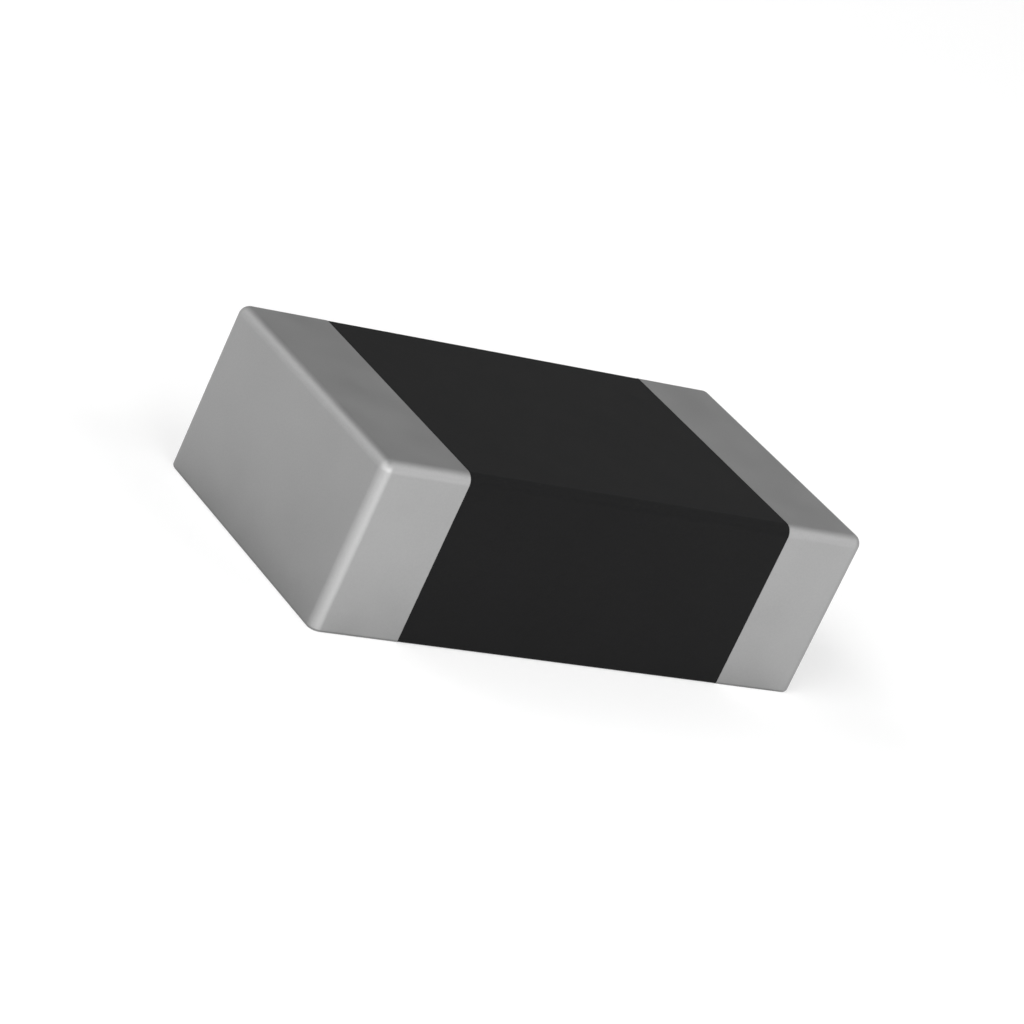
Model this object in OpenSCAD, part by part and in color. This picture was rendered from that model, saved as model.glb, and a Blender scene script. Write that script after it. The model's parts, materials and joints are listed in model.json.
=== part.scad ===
/* [Chip] */
// Overall length across both terminations
chip_length = 3.2; // [2.8:0.05:3.6]
// Overall width across the terminations
chip_width = 1.665; // [1.3:0.005:2]
// Overall height across the terminations
chip_height = 0.98; // [0.8:0.02:1.3]
// Rounding of the top and upright edges of the ceramic, which the layers over it follow
edge_radius = 0.051; // [0.03:0.001:0.1]
// Rounding of the bottom edges of the ceramic, which the layers over it follow
foot_radius = 0.011; // [0.004:0.001:0.02]
// Thickness of the black protective coat round the ceramic, between the terminations
coat_thickness = 0.0075; // [0.004:0.0005:0.012]

/* [Terminations] */
// Length of each termination along the chip
band_length = 0.535; // [0.3:0.005:0.8]
// Thickness of the fired silver base on the four sides
silver_side = 0.004; // [0.004:0.001:0.01]
// Thickness of the fired silver base on the end face
silver_end = 0.03; // [0.015:0.005:0.05]
// Thickness of the plated nickel barrier
nickel_thickness = 0.002; // [0.001:0.001:0.004]
// Thickness of the plated tin finish
tin_thickness = 0.003; // [0.002:0.001:0.006]

/* [Inner electrodes] */
// Inner electrodes that reach each end
electrodes_per_end = 4; // [2:1:6]
// Thickness of one inner electrode
electrode_thickness = 0.004; // [0.002:0.001:0.008]
// Ceramic left beside each long edge of an inner electrode
side_margin = 0.22; // [0.15:0.01:0.4]
// Ceramic left between the tip of an inner electrode and the far end of the body
tip_margin = 0.45; // [0.2:0.05:0.8]
// Rounding of the two corners at the tip of an inner electrode
tip_radius = 0.06; // [0.02:0.01:0.12]
// Ceramic above the uppermost and below the lowest inner electrode
cover_thickness = 0.2; // [0.12:0.02:0.3]

/* [Hidden] */
$fn = 48;

// Layers of a termination, from the ceramic outwards
SILVER = 0;
NICKEL = 1;
TIN = 2;

// How far the outside of each layer stands off the ceramic, on the sides and on the end face
side_growth = [silver_side, silver_side + nickel_thickness, silver_side + nickel_thickness + tin_thickness];
end_growth = [silver_end, silver_end + nickel_thickness, silver_end + nickel_thickness + tin_thickness];
// How far the rim of each layer lies behind the lip of the tin
rim_inset = [nickel_thickness + tin_thickness, tin_thickness, 0];
// Distance of the tin lips from the middle of the chip
lip_reach = chip_length / 2 - band_length;

body_length = chip_length - 2 * end_growth[TIN];
body_width = chip_width - 2 * side_growth[TIN];
body_height = chip_height - 2 * side_growth[TIN];

electrode_length = body_length - tip_margin;
electrode_width = body_width - 2 * side_margin;
electrode_levels = 2 * electrodes_per_end;
first_level = side_growth[TIN] + cover_thickness;
level_pitch = (body_height - 2 * cover_thickness - electrode_thickness) / (electrode_levels - 1);

ceramic_colour = "#29292a";
coat_colour = "#222223";
electrode_colour = "#b9b4a8";
silver_colour = "#c9c8c4";
nickel_colour = "#8d8a82";
tin_colour = "#a4a4a4";

left_electrode_names = [for (i = [1:electrodes_per_end]) str("left_inner_electrode_", i)];
right_electrode_names = [for (i = [1:electrodes_per_end]) str("right_inner_electrode_", i)];
layer_names = ["silver_base", "nickel_barrier", "tin_finish"];
termination_names = [for (side = ["left_", "right_"]) for (name = layer_names) str(side, name)];

// Quarter of a disc, between the positive axes
module quarter_disc(radius) {
    intersection() {
        circle(radius);
        square(radius);
    }
}

// Outer strip of an upright section, one edge radius deep, rounded at its top and, more tightly, at its foot
module edge_profile(height, radius, foot) {
    translate([0, height - radius])
        quarter_disc(radius);
    translate([0, foot])
        square([radius, height - radius - foot]);
    square([radius - foot, foot]);
    translate([radius - foot, foot])
        mirror([0, 1])
            quarter_disc(foot);
}

// Block on its foot: the edge profile is swept round a core, straight along the sides and turned at the
// corners, so that every edge and corner is a true round
module round_block(length, width, height, radius, foot) {
    core = [length - 2 * radius, width - 2 * radius];
    translate([-core.x / 2, -core.y / 2])
        cube([core.x, core.y, height]);
    for (turn = [0, 1]) {
        half = [core[turn], core[1 - turn]] / 2;
        for (flip = [0, 180])
            rotate(flip + 90 * turn) {
                translate([half.x, half.y])
                    rotate([90, 0])
                        linear_extrude(2 * half.y)
                            edge_profile(height, radius, foot);
                translate([half.x, half.y])
                    rotate_extrude(angle = 90)
                        edge_profile(height, radius, foot);
            }
    }
}

// Outside of the ceramic, grown by the given amounts along the chip and on its four sides
module grown_form(along, aside) {
    translate([0, 0, side_growth[TIN] - aside])
        round_block(
            body_length + 2 * along,
            body_width + 2 * aside,
            body_height + 2 * aside,
            edge_radius + aside,
            foot_radius + aside
        );
}

// Outside of the fired ceramic, with tumbled edges
module body_form() {
    grown_form(0, 0);
}

// Space between two planes across the chip, taller and wider than the chip
module slice(from_x, to_x) {
    translate([from_x, -chip_width, -chip_height])
        cube([to_x - from_x, 2 * chip_width, 3 * chip_height]);
}

// Outside of the left termination up to the given layer, without its hollow
module termination_form(layer) {
    intersection() {
        grown_form(end_growth[layer], side_growth[layer]);
        slice(-chip_length, -lip_reach - rim_inset[layer]);
    }
}

// One layer of the left termination: a cup over the layer beneath it, down to the ceramic at its rim
module termination_layer(layer) {
    difference() {
        termination_form(layer);
        if (layer > SILVER)
            termination_form(layer - 1);
        body_form();
    }
}

// Printed electrode that starts flush with the left end of the ceramic
module electrode_plate(level) {
    straight = electrode_length - tip_radius;
    tip_width = electrode_width - 2 * tip_radius;
    translate([-body_length / 2, 0, first_level + level * level_pitch])
        linear_extrude(electrode_thickness) {
            translate([0, -electrode_width / 2])
                square([straight, electrode_width]);
            translate([straight, -tip_width / 2])
                square([tip_radius, tip_width]);
            for (side = [0, 1])
                mirror([0, side])
                    translate([straight, tip_width / 2])
                        quarter_disc(tip_radius);
        }
}

module left_inner_electrode(i) {
    color(electrode_colour)
        electrode_plate(2 * (i - 1));
}

module right_inner_electrode(i) {
    color(electrode_colour)
        mirror([1, 0, 0])
            electrode_plate(2 * i - 1);
}

module ceramic_body() {
    color(ceramic_colour)
        difference() {
            body_form();
            for (i = [1:electrodes_per_end]) {
                left_inner_electrode(i);
                right_inner_electrode(i);
            }
        }
}

// Sleeve on the four sides of the ceramic, from lip to lip of the tin
module protective_coat() {
    color(coat_colour)
        difference() {
            intersection() {
                grown_form(0, coat_thickness);
                slice(-lip_reach, lip_reach);
            }
            body_form();
        }
}

module left_silver_base() {
    color(silver_colour)
        termination_layer(SILVER);
}

module right_silver_base() {
    color(silver_colour)
        mirror([1, 0, 0])
            termination_layer(SILVER);
}

module left_nickel_barrier() {
    color(nickel_colour)
        termination_layer(NICKEL);
}

module right_nickel_barrier() {
    color(nickel_colour)
        mirror([1, 0, 0])
            termination_layer(NICKEL);
}

module left_tin_finish() {
    color(tin_colour)
        termination_layer(TIN);
}

module right_tin_finish() {
    color(tin_colour)
        mirror([1, 0, 0])
            termination_layer(TIN);
}

ceramic_body();
protective_coat();
for (i = [1:electrodes_per_end]) {
    left_inner_electrode(i);
    right_inner_electrode(i);
}
left_silver_base();
right_silver_base();
left_nickel_barrier();
right_nickel_barrier();
left_tin_finish();
right_tin_finish();
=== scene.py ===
import json
import math

import bpy
from mathutils import Matrix, Vector


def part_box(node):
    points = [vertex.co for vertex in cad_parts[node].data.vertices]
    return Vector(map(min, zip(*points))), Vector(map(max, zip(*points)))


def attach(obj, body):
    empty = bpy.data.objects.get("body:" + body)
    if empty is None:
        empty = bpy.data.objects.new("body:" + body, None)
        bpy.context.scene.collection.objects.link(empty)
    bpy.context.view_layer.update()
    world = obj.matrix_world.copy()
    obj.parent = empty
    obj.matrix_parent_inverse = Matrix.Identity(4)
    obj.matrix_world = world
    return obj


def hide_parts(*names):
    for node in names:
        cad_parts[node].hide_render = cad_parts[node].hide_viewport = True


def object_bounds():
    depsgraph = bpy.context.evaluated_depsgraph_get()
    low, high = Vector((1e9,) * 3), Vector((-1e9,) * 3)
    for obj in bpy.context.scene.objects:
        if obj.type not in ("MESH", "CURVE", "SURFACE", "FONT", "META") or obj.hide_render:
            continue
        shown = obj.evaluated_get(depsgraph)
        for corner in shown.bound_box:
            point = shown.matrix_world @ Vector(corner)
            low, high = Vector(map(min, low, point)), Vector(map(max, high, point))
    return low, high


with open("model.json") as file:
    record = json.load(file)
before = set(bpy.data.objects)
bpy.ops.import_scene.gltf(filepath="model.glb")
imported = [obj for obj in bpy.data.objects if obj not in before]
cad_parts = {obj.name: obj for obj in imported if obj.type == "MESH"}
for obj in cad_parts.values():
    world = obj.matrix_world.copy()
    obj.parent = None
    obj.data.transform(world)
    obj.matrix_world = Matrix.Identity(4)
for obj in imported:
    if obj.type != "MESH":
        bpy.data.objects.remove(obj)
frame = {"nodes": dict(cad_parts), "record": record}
cad_low, cad_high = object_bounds()

MM = 0.001
UM = 0.000001

# Roundings of the ceramic, which the frame's boxes don't tell and the layers over it follow
EDGE_RADIUS = 0.051 * MM
FOOT_RADIUS = 0.011 * MM
# Steps of each round, and the distance within which corners become one vertex
ROUND_STEPS = 18
WELD = 0.001 * UM

# Camera, from a fit of the chip's edges to the photograph
CAMERA_PLACE = Vector((-13.5008, -15.7241, 7.907)) * MM
CAMERA_LOOK = Vector((0.61189, 0.71421, -0.33984))
CAMERA_UP = Vector((-0.12307, 0.5104, 0.85109))
CAMERA_LENS = 146.566
CAMERA_SENSOR = 36.0
CAMERA_NEAR = 1 * MM
CAMERA_FAR = 1000 * MM

# Sweep under and round the chip: radius of its flat floor, its bend, and the low wall above the bend
SWEEP_FLOOR = 125 * MM
SWEEP_BEND = 22 * MM
SWEEP_WALL = 6 * MM
SWEEP_STEPS = 12
SWEEP_SIDES = 96
# The sweep to the camera: a glow of its own, and a paleness that takes the chip's shadow
SHOWN_GLOW = 0.485
SHOWN_PALENESS = 0.55
# The sweep to the light that it throws back on the chip
SWEEP_PALENESS = 0.8
# The chip's shadow on the sweep as metal mirrors it: its reach, and a power that deepens it
CONTACT_REACH = 5 * MM
CONTACT_DEPTH = 1.5
# Rays that meet the sweep within this length come from the chip's own underside
UNDER_REACH = 6 * UM

# Light: soft boxes that face the chip, in even air
BOX_DISTANCE = 100 * MM
WORLD_LEVEL = 0.14
# Name, azimuth and elevation in degrees, width, height and radiance
SOFT_BOXES = (
    ("key_box", -11, 8, 50 * MM, 26 * MM, 19.3),
    ("side_box", -62, 13, 45 * MM, 45 * MM, 5.2),
    ("side_high_box", -70, 40, 60 * MM, 45 * MM, 4.9),
    ("left_rim_box", -130, 40, 60 * MM, 45 * MM, 4.1),
    ("right_rim_box", 45, 45, 55 * MM, 55 * MM, 4.0),
    ("right_back_box", 105, 45, 60 * MM, 45 * MM, 0.8),
    ("under_box", 0, -90, 80 * MM, 80 * MM, 4.0),
)

# Part of a texture's range that most of its values lie in
TEXTURE_LOW = 0.3
TEXTURE_HIGH = 0.7
# How far the roughness of a metal drifts to either side
ROUGHNESS_DRIFT = 0.02

# The ceramic that all offsets start from, and half the width of the core that its edges run round
body_low, body_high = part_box("ceramic_body")
core_half = body_high.y - EDGE_RADIUS


def arc(centre, radius, first, last):
    """Round run of a profile, from angle first to last in degrees, with its normals."""
    points = []
    for step in range(ROUND_STEPS + 1):
        angle = math.radians(first + (last - first) * step / ROUND_STEPS)
        out, up = math.cos(angle), math.sin(angle)
        points.append((centre[0] + radius * out, centre[1] + radius * up, out, up))
    return points


def profile(offset):
    """Upright edge at an offset from the ceramic, from the top to the foot: (out, up) with normals."""
    top = arc((0.0, body_high.z - EDGE_RADIUS), EDGE_RADIUS + offset, 90, 0)
    foot = arc((EDGE_RADIUS - FOOT_RADIUS, body_low.z + FOOT_RADIUS), FOOT_RADIUS + offset, 0, -90)
    return top + foot + [(0.0, body_low.z - offset, 0.0, -1.0)]


class Shell:
    """A closed mesh of profiles swept along plan stations, with the true normals of its rounds."""

    def __init__(self):
        self.vertices = []
        self.places = {}
        self.faces = []
        self.normals = []

    def vertex(self, place):
        """Index of the vertex at a place, which is made if there is none yet."""
        key = tuple(round(value / WELD) for value in place)
        if key not in self.places:
            self.places[key] = len(self.vertices)
            self.vertices.append(place)
        return self.places[key]

    def add_face(self, corners):
        """Adds a face of (place, normal) corners, wound to face its normals, without doubled corners."""
        kept = []
        for place, normal in corners:
            index = self.vertex(place)
            if index not in [k for k, _ in kept]:
                kept.append((index, normal))
        if len(kept) < 3:
            return
        loop = [Vector(self.vertices[index]) for index, _ in kept]
        turn = sum(((a - loop[0]).cross(b - loop[0]) for a, b in zip(loop[1:], loop[2:])), Vector())
        if turn.dot(sum((normal for _, normal in kept), Vector())) < 0:
            kept.reverse()
        self.faces.append([index for index, _ in kept])
        self.normals.extend(normal for _, normal in kept)

    def add_strip(self, stations, points, facing):
        """Sweeps a profile along stations (x, y, outward x, outward y), facing out (1) or in (-1)."""
        def corner(station, point):
            x, y, out_x, out_y = station
            out, up, normal_out, normal_up = point
            normal = Vector((out_x * normal_out, out_y * normal_out, normal_up)) * facing
            return (x + out_x * out, y + out_y * out, up), normal

        for a, b in zip(stations, stations[1:]):
            for p, q in zip(points, points[1:]):
                self.add_face([corner(a, p), corner(b, p), corner(b, q), corner(a, q)])

    def add_flats(self, from_x, to_x, points, facing):
        """Closes the top and the bottom over the core between two planes across the chip."""
        for _, up, _, normal_up in (points[0], points[-1]):
            normal = Vector((0.0, 0.0, normal_up * facing))
            corners = ((from_x, core_half), (to_x, core_half), (to_x, -core_half), (from_x, -core_half))
            self.add_face([((x, y, up), normal) for x, y in corners])

    def add_sleeve(self, from_x, to_x, points, facing):
        """Runs a profile straight along both long sides between two planes across the chip."""
        for side in (1, -1):
            stations = [(x, side * core_half, 0.0, side) for x in (from_x, to_x)]
            self.add_strip(stations, points, facing)
        self.add_flats(from_x, to_x, points, facing)

    def add_hood(self, rim_x, corner_x, points, facing):
        """Runs a profile from a rim round the two upright corners of an end and back to the rim."""
        forward = 1 if rim_x > corner_x else -1
        stations = [(rim_x, core_half, 0.0, 1.0)]
        for quarter, y in ((1, core_half), (2, -core_half)):
            for step in range(ROUND_STEPS + 1):
                angle = math.pi / 2 * (quarter + step / ROUND_STEPS)
                stations.append((corner_x, y, forward * math.cos(angle), math.sin(angle)))
        stations.append((rim_x, -core_half, 0.0, -1.0))
        self.add_strip(stations, points, facing)
        self.add_flats(corner_x, rim_x, points, facing)

    def add_rim(self, x, outer, inner, facing):
        """Flat ring across the chip between two profiles."""
        normal = Vector((facing, 0.0, 0.0))
        for side in (1, -1):
            for quad in zip(outer, outer[1:], inner[1:], inner):
                places = [(x, side * (core_half + out), up) for out, up, _, _ in quad]
                self.add_face([(place, normal) for place in places])
        for end in (0, -1):
            high, low = outer[end][1], inner[end][1]
            corners = ((core_half, high), (-core_half, high), (-core_half, low), (core_half, low))
            self.add_face([((x, y, up), normal) for y, up in corners])

    def finish(self, name):
        """Makes the object, with the normals as given."""
        mesh = bpy.data.meshes.new(name)
        mesh.from_pydata(self.vertices, [], self.faces)
        mesh.polygons.foreach_set("use_smooth", [True] * len(mesh.polygons))
        mesh.normals_split_custom_set([tuple(normal) for normal in self.normals])
        piece = bpy.data.objects.new(name, mesh)
        bpy.context.scene.collection.objects.link(piece)
        return piece


def make_tin_cap(side):
    """Plated tin cup over the nickel, down to the ceramic at its rim, with round edges and corners."""
    low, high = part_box(f"{side}_tin_finish")
    nickel_low, nickel_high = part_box(f"{side}_nickel_barrier")
    tin_offset = body_low.z - low.z
    nickel_offset = body_low.z - nickel_low.z
    if side == "left":
        forward, end, lip, rim = 1, low.x, high.x, nickel_high.x
    else:
        forward, end, lip, rim = -1, high.x, low.x, nickel_low.x
    corner_x = end + forward * (EDGE_RADIUS + tin_offset)
    outside, inside, bare = profile(tin_offset), profile(nickel_offset), profile(0.0)
    cap = Shell()
    cap.add_hood(lip, corner_x, outside, 1)
    cap.add_rim(lip, outside, bare, forward)
    cap.add_sleeve(rim, lip, bare, -1)
    cap.add_rim(rim, inside, bare, -forward)
    cap.add_hood(rim, corner_x, inside, -1)
    return cap.finish(f"{side}_tin_cap")


def make_coat():
    """Black protective sleeve on the four sides of the ceramic, from lip to lip."""
    low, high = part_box("protective_coat")
    outside, bare = profile(body_low.z - low.z), profile(0.0)
    coat = Shell()
    coat.add_sleeve(low.x, high.x, outside, 1)
    coat.add_sleeve(low.x, high.x, bare, -1)
    coat.add_rim(low.x, outside, bare, -1)
    coat.add_rim(high.x, outside, bare, 1)
    return coat.finish("black_coat")


class Surface:
    """A node material with its principled shader, and short ways to add the nodes that vary it."""

    def __init__(self, name):
        self.material = bpy.data.materials.new(name)
        self.material.use_nodes = True
        self.tree = self.material.node_tree
        self.shader = self.tree.nodes["Principled BSDF"]
        self.place = self.tree.nodes.new("ShaderNodeTexCoord").outputs["Object"]

    def link(self, source, target):
        self.tree.links.new(source, target)

    def noise(self, size, detail=2.0):
        """Cloudy noise from 0 to 1 whose features are about the given size across."""
        node = self.tree.nodes.new("ShaderNodeTexNoise")
        node.inputs["Scale"].default_value = 1 / size
        node.inputs["Detail"].default_value = detail
        self.link(self.place, node.inputs["Vector"])
        return node.outputs["Fac"]

    def grains(self, size):
        """Distance to the nearest grain centre, for crystals about the given size across."""
        node = self.tree.nodes.new("ShaderNodeTexVoronoi")
        node.inputs["Scale"].default_value = 1 / size
        self.link(self.place, node.inputs["Vector"])
        return node.outputs["Distance"]

    def spread(self, source, low, high):
        """Maps the middle of a texture's range to values from low to high."""
        node = self.tree.nodes.new("ShaderNodeMapRange")
        node.inputs["From Min"].default_value = TEXTURE_LOW
        node.inputs["From Max"].default_value = TEXTURE_HIGH
        node.inputs["To Min"].default_value = low
        node.inputs["To Max"].default_value = high
        self.link(source, node.inputs["Value"])
        return node.outputs["Result"]

    def product(self, a, b):
        node = self.tree.nodes.new("ShaderNodeMath")
        node.operation = "MULTIPLY"
        self.link(a, node.inputs[0])
        self.link(b, node.inputs[1])
        return node.outputs["Value"]

    def shade(self, amount, colour):
        """The colour times an amount that varies over the surface."""
        node = self.tree.nodes.new("ShaderNodeVectorMath")
        node.operation = "SCALE"
        node.inputs[0].default_value = colour
        self.link(amount, node.inputs["Scale"])
        self.link(node.outputs["Vector"], self.shader.inputs["Base Color"])

    def roughness(self, source):
        self.link(source, self.shader.inputs["Roughness"])

    def bump(self, height, distance, strength):
        node = self.tree.nodes.new("ShaderNodeBump")
        node.inputs["Strength"].default_value = strength
        node.inputs["Distance"].default_value = distance
        self.link(height, node.inputs["Height"])
        self.link(node.outputs["Normal"], self.shader.inputs["Normal"])


def metal(name, colour, roughness, grain, cloud, tone, relief):
    """Matte plated or fired metal: fine grains under a slow cloud of tone and roughness."""
    surface = Surface(name)
    surface.shader.inputs["Metallic"].default_value = 1.0
    fine = surface.noise(grain, detail=3.0)
    slow = surface.noise(cloud)
    grain_tone = surface.spread(fine, 1 - tone, 1 + tone)
    cloud_tone = surface.spread(slow, 1 - tone, 1 + tone)
    surface.shade(surface.product(grain_tone, cloud_tone), colour)
    surface.roughness(surface.spread(slow, roughness - ROUGHNESS_DRIFT, roughness + ROUGHNESS_DRIFT))
    surface.bump(fine, grain, relief)
    return surface.material


def tin_material():
    return metal(
        "matte_tin",
        colour=(0.37, 0.37, 0.37),
        roughness=0.64,
        grain=9 * UM,
        cloud=300 * UM,
        tone=0.02,
        relief=0.05,
    )


def nickel_material():
    return metal(
        "nickel_plating",
        colour=(0.5, 0.46, 0.4),
        roughness=0.35,
        grain=6 * UM,
        cloud=200 * UM,
        tone=0.03,
        relief=0.1,
    )


def silver_material():
    return metal(
        "fired_silver",
        colour=(0.8, 0.78, 0.74),
        roughness=0.6,
        grain=14 * UM,
        cloud=150 * UM,
        tone=0.05,
        relief=0.3,
    )


def electrode_material():
    return metal(
        "printed_electrode",
        colour=(0.62, 0.58, 0.5),
        roughness=0.55,
        grain=10 * UM,
        cloud=120 * UM,
        tone=0.05,
        relief=0.2,
    )


def coat_material():
    """Black protective coat: a matte skin with faint grains that is paler at a low angle."""
    surface = Surface("black_coat")
    grains = surface.grains(size=16 * UM)
    fine = surface.noise(size=7 * UM, detail=3.0)
    slow = surface.noise(size=400 * UM)
    fine_tone = surface.spread(fine, low=0.9, high=1.1)
    slow_tone = surface.spread(slow, low=0.96, high=1.04)
    surface.shade(surface.product(fine_tone, slow_tone), colour=(0.0062, 0.0062, 0.0064))
    surface.shader.inputs["Specular IOR Level"].default_value = 0.045
    surface.shader.inputs["Sheen Weight"].default_value = 0.018
    surface.shader.inputs["Sheen Roughness"].default_value = 0.6
    surface.roughness(surface.spread(slow, low=0.56, high=0.6))
    surface.bump(surface.product(grains, fine), distance=8 * UM, strength=0.06)
    return surface.material


def ceramic_material():
    """Dark fired oxide ceramic, matte, with grains that show on its bare faces."""
    surface = Surface("fired_ceramic")
    grains = surface.grains(size=16 * UM)
    slow = surface.noise(size=400 * UM)
    grain_tone = surface.spread(grains, low=0.8, high=1.2)
    slow_tone = surface.spread(slow, low=0.95, high=1.05)
    surface.shade(surface.product(grain_tone, slow_tone), colour=(0.02, 0.02, 0.021))
    surface.roughness(surface.spread(slow, low=0.6, high=0.7))
    surface.bump(grains, distance=4 * UM, strength=0.2)
    return surface.material


def dress(piece, slot, material, *nodes):
    """A piece that stands for CAD nodes, in the finish of their slot."""
    piece.data.materials.append(material)
    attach(piece, "root")
    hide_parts(*nodes)


def dress_nodes(slot, material):
    """Gives every CAD node of a slot its material."""
    for part in frame["record"]["subparts"]:
        if part["material_slot"] == slot:
            slots = frame["nodes"][part["node"]].data.materials
            slots.clear()
            slots.append(material)


def make_sweep():
    """Pale studio floor that bends up into a low wall all round."""
    rings = [(SWEEP_FLOOR, 0.0)]
    for step in range(1, SWEEP_STEPS + 1):
        angle = math.pi / 2 * step / SWEEP_STEPS
        rings.append((SWEEP_FLOOR + SWEEP_BEND * math.sin(angle), SWEEP_BEND * (1 - math.cos(angle))))
    rings.append((SWEEP_FLOOR + SWEEP_BEND, SWEEP_BEND + SWEEP_WALL))
    turns = [2 * math.pi * side / SWEEP_SIDES for side in range(SWEEP_SIDES)]
    vertices = [(0.0, 0.0, 0.0)]
    for out, up in rings:
        vertices += [(out * math.cos(turn), out * math.sin(turn), up) for turn in turns]
    faces = []
    for side in range(SWEEP_SIDES):
        after = (side + 1) % SWEEP_SIDES
        faces.append((0, 1 + side, 1 + after))
        for ring in range(len(rings) - 1):
            base = 1 + ring * SWEEP_SIDES
            faces.append((base + side, base + SWEEP_SIDES + side, base + SWEEP_SIDES + after, base + after))
    mesh = bpy.data.meshes.new("studio_sweep")
    mesh.from_pydata(vertices, [], faces)
    mesh.polygons.foreach_set("use_smooth", [True] * len(mesh.polygons))
    sweep = bpy.data.objects.new("studio_sweep", mesh)
    bpy.context.scene.collection.objects.link(sweep)
    sweep.data.materials.append(sweep_material())


def pale_diffuse(tree, level):
    node = tree.nodes.new("ShaderNodeBsdfDiffuse")
    node.inputs["Color"].default_value = (level, level, level, 1)
    return node.outputs["BSDF"]


def choose(tree, amount, base, cover):
    """The base shader, with the cover in its place where the amount is 1."""
    node = tree.nodes.new("ShaderNodeMixShader")
    tree.links.new(amount, node.inputs["Fac"])
    tree.links.new(base, node.inputs[1])
    tree.links.new(cover, node.inputs[2])
    return node.outputs["Shader"]


def combine(tree, operation, first, second):
    """A maths node over two outputs, or over an output and a number."""
    node = tree.nodes.new("ShaderNodeMath")
    node.operation = operation
    tree.links.new(first, node.inputs[0])
    if isinstance(second, float):
        node.inputs[1].default_value = second
    else:
        tree.links.new(second, node.inputs[1])
    return node.outputs["Value"]


def shown_white(tree):
    """What the camera sees of the sweep: white, apart from the chip's shadow."""
    glow = tree.nodes.new("ShaderNodeEmission")
    glow.inputs["Strength"].default_value = SHOWN_GLOW
    both = tree.nodes.new("ShaderNodeAddShader")
    tree.links.new(glow.outputs["Emission"], both.inputs[0])
    tree.links.new(pale_diffuse(tree, SHOWN_PALENESS), both.inputs[1])
    return both.outputs["Shader"]


def mirrored_white(tree):
    """What metal mirrors of the sweep: white, and darker close to the chip."""
    nearness = tree.nodes.new("ShaderNodeAmbientOcclusion")
    nearness.inputs["Distance"].default_value = CONTACT_REACH
    glow = tree.nodes.new("ShaderNodeEmission")
    level = combine(tree, "POWER", nearness.outputs["AO"], CONTACT_DEPTH)
    tree.links.new(level, glow.inputs["Strength"])
    return glow.outputs["Emission"]


def sweep_material():
    """White to the eye and in reflections, with the chip's shadow in both, and pale to other light.

    It is open to what looks up from below and to what looks down from the chip's own underside.
    """
    material = bpy.data.materials.new("studio_sweep")
    material.use_nodes = True
    tree = material.node_tree
    tree.nodes.clear()
    path = tree.nodes.new("ShaderNodeLightPath").outputs
    in_mirror = combine(tree, "MAXIMUM", path["Is Glossy Ray"], path["Is Transmission Ray"])
    surface = choose(tree, in_mirror, pale_diffuse(tree, SWEEP_PALENESS), mirrored_white(tree))
    surface = choose(tree, path["Is Camera Ray"], surface, shown_white(tree))
    from_below = tree.nodes.new("ShaderNodeNewGeometry").outputs["Backfacing"]
    from_chip = combine(tree, "LESS_THAN", path["Ray Length"], UNDER_REACH)
    clear = tree.nodes.new("ShaderNodeBsdfTransparent").outputs["BSDF"]
    surface = choose(tree, combine(tree, "MAXIMUM", from_below, from_chip), surface, clear)
    output = tree.nodes.new("ShaderNodeOutputMaterial")
    tree.links.new(surface, output.inputs["Surface"])
    return material


def make_soft_box(name, azimuth, elevation, width, height, radiance):
    """Soft box that faces the chip. Azimuth 0 is in front of the chip and 90 to its right."""
    turn, rise = math.radians(azimuth), math.radians(elevation)
    away = Vector((math.sin(turn) * math.cos(rise), -math.cos(turn) * math.cos(rise), math.sin(rise)))
    lamp = bpy.data.lights.new(name, "AREA")
    lamp.shape = "RECTANGLE"
    lamp.size = width
    lamp.size_y = height
    lamp.energy = radiance * math.pi * width * height
    box = bpy.data.objects.new(name, lamp)
    box.location = (cad_low + cad_high) / 2 + away * BOX_DISTANCE
    box.rotation_mode = "QUATERNION"
    box.rotation_quaternion = away.to_track_quat("Z", "Y")
    box.visible_camera = False
    bpy.context.scene.collection.objects.link(box)


def make_world():
    """Even white air, at a low level."""
    world = bpy.data.worlds.new("studio_air")
    world.use_nodes = True
    world.node_tree.nodes["Background"].inputs["Color"].default_value = (1, 1, 1, 1)
    world.node_tree.nodes["Background"].inputs["Strength"].default_value = WORLD_LEVEL
    bpy.context.scene.world = world


def make_camera():
    """Camera at the photograph's viewing angle."""
    data = bpy.data.cameras.new("camera")
    data.lens = CAMERA_LENS
    data.sensor_width = CAMERA_SENSOR
    data.clip_start = CAMERA_NEAR
    data.clip_end = CAMERA_FAR
    camera = bpy.data.objects.new("camera", data)
    right = CAMERA_LOOK.cross(CAMERA_UP).normalized()
    up = right.cross(CAMERA_LOOK).normalized()
    axes = Matrix((right, up, -CAMERA_LOOK.normalized())).transposed()
    camera.matrix_world = Matrix.Translation(CAMERA_PLACE) @ axes.to_4x4()
    bpy.context.scene.collection.objects.link(camera)
    bpy.context.scene.camera = camera


tin = tin_material()
for side in ("left", "right"):
    dress(make_tin_cap(side), "tin", tin, f"{side}_tin_finish")
coat = coat_material()
dress(make_coat(), "coat", coat, "protective_coat")
dress_nodes("tin", tin)
dress_nodes("coat", coat)
dress_nodes("ceramic", ceramic_material())
dress_nodes("silver", silver_material())
dress_nodes("nickel", nickel_material())
dress_nodes("inner_electrode", electrode_material())

make_sweep()
for box in SOFT_BOXES:
    make_soft_box(*box)
make_world()
make_camera()
bpy.context.scene.view_settings.view_transform = "Standard"
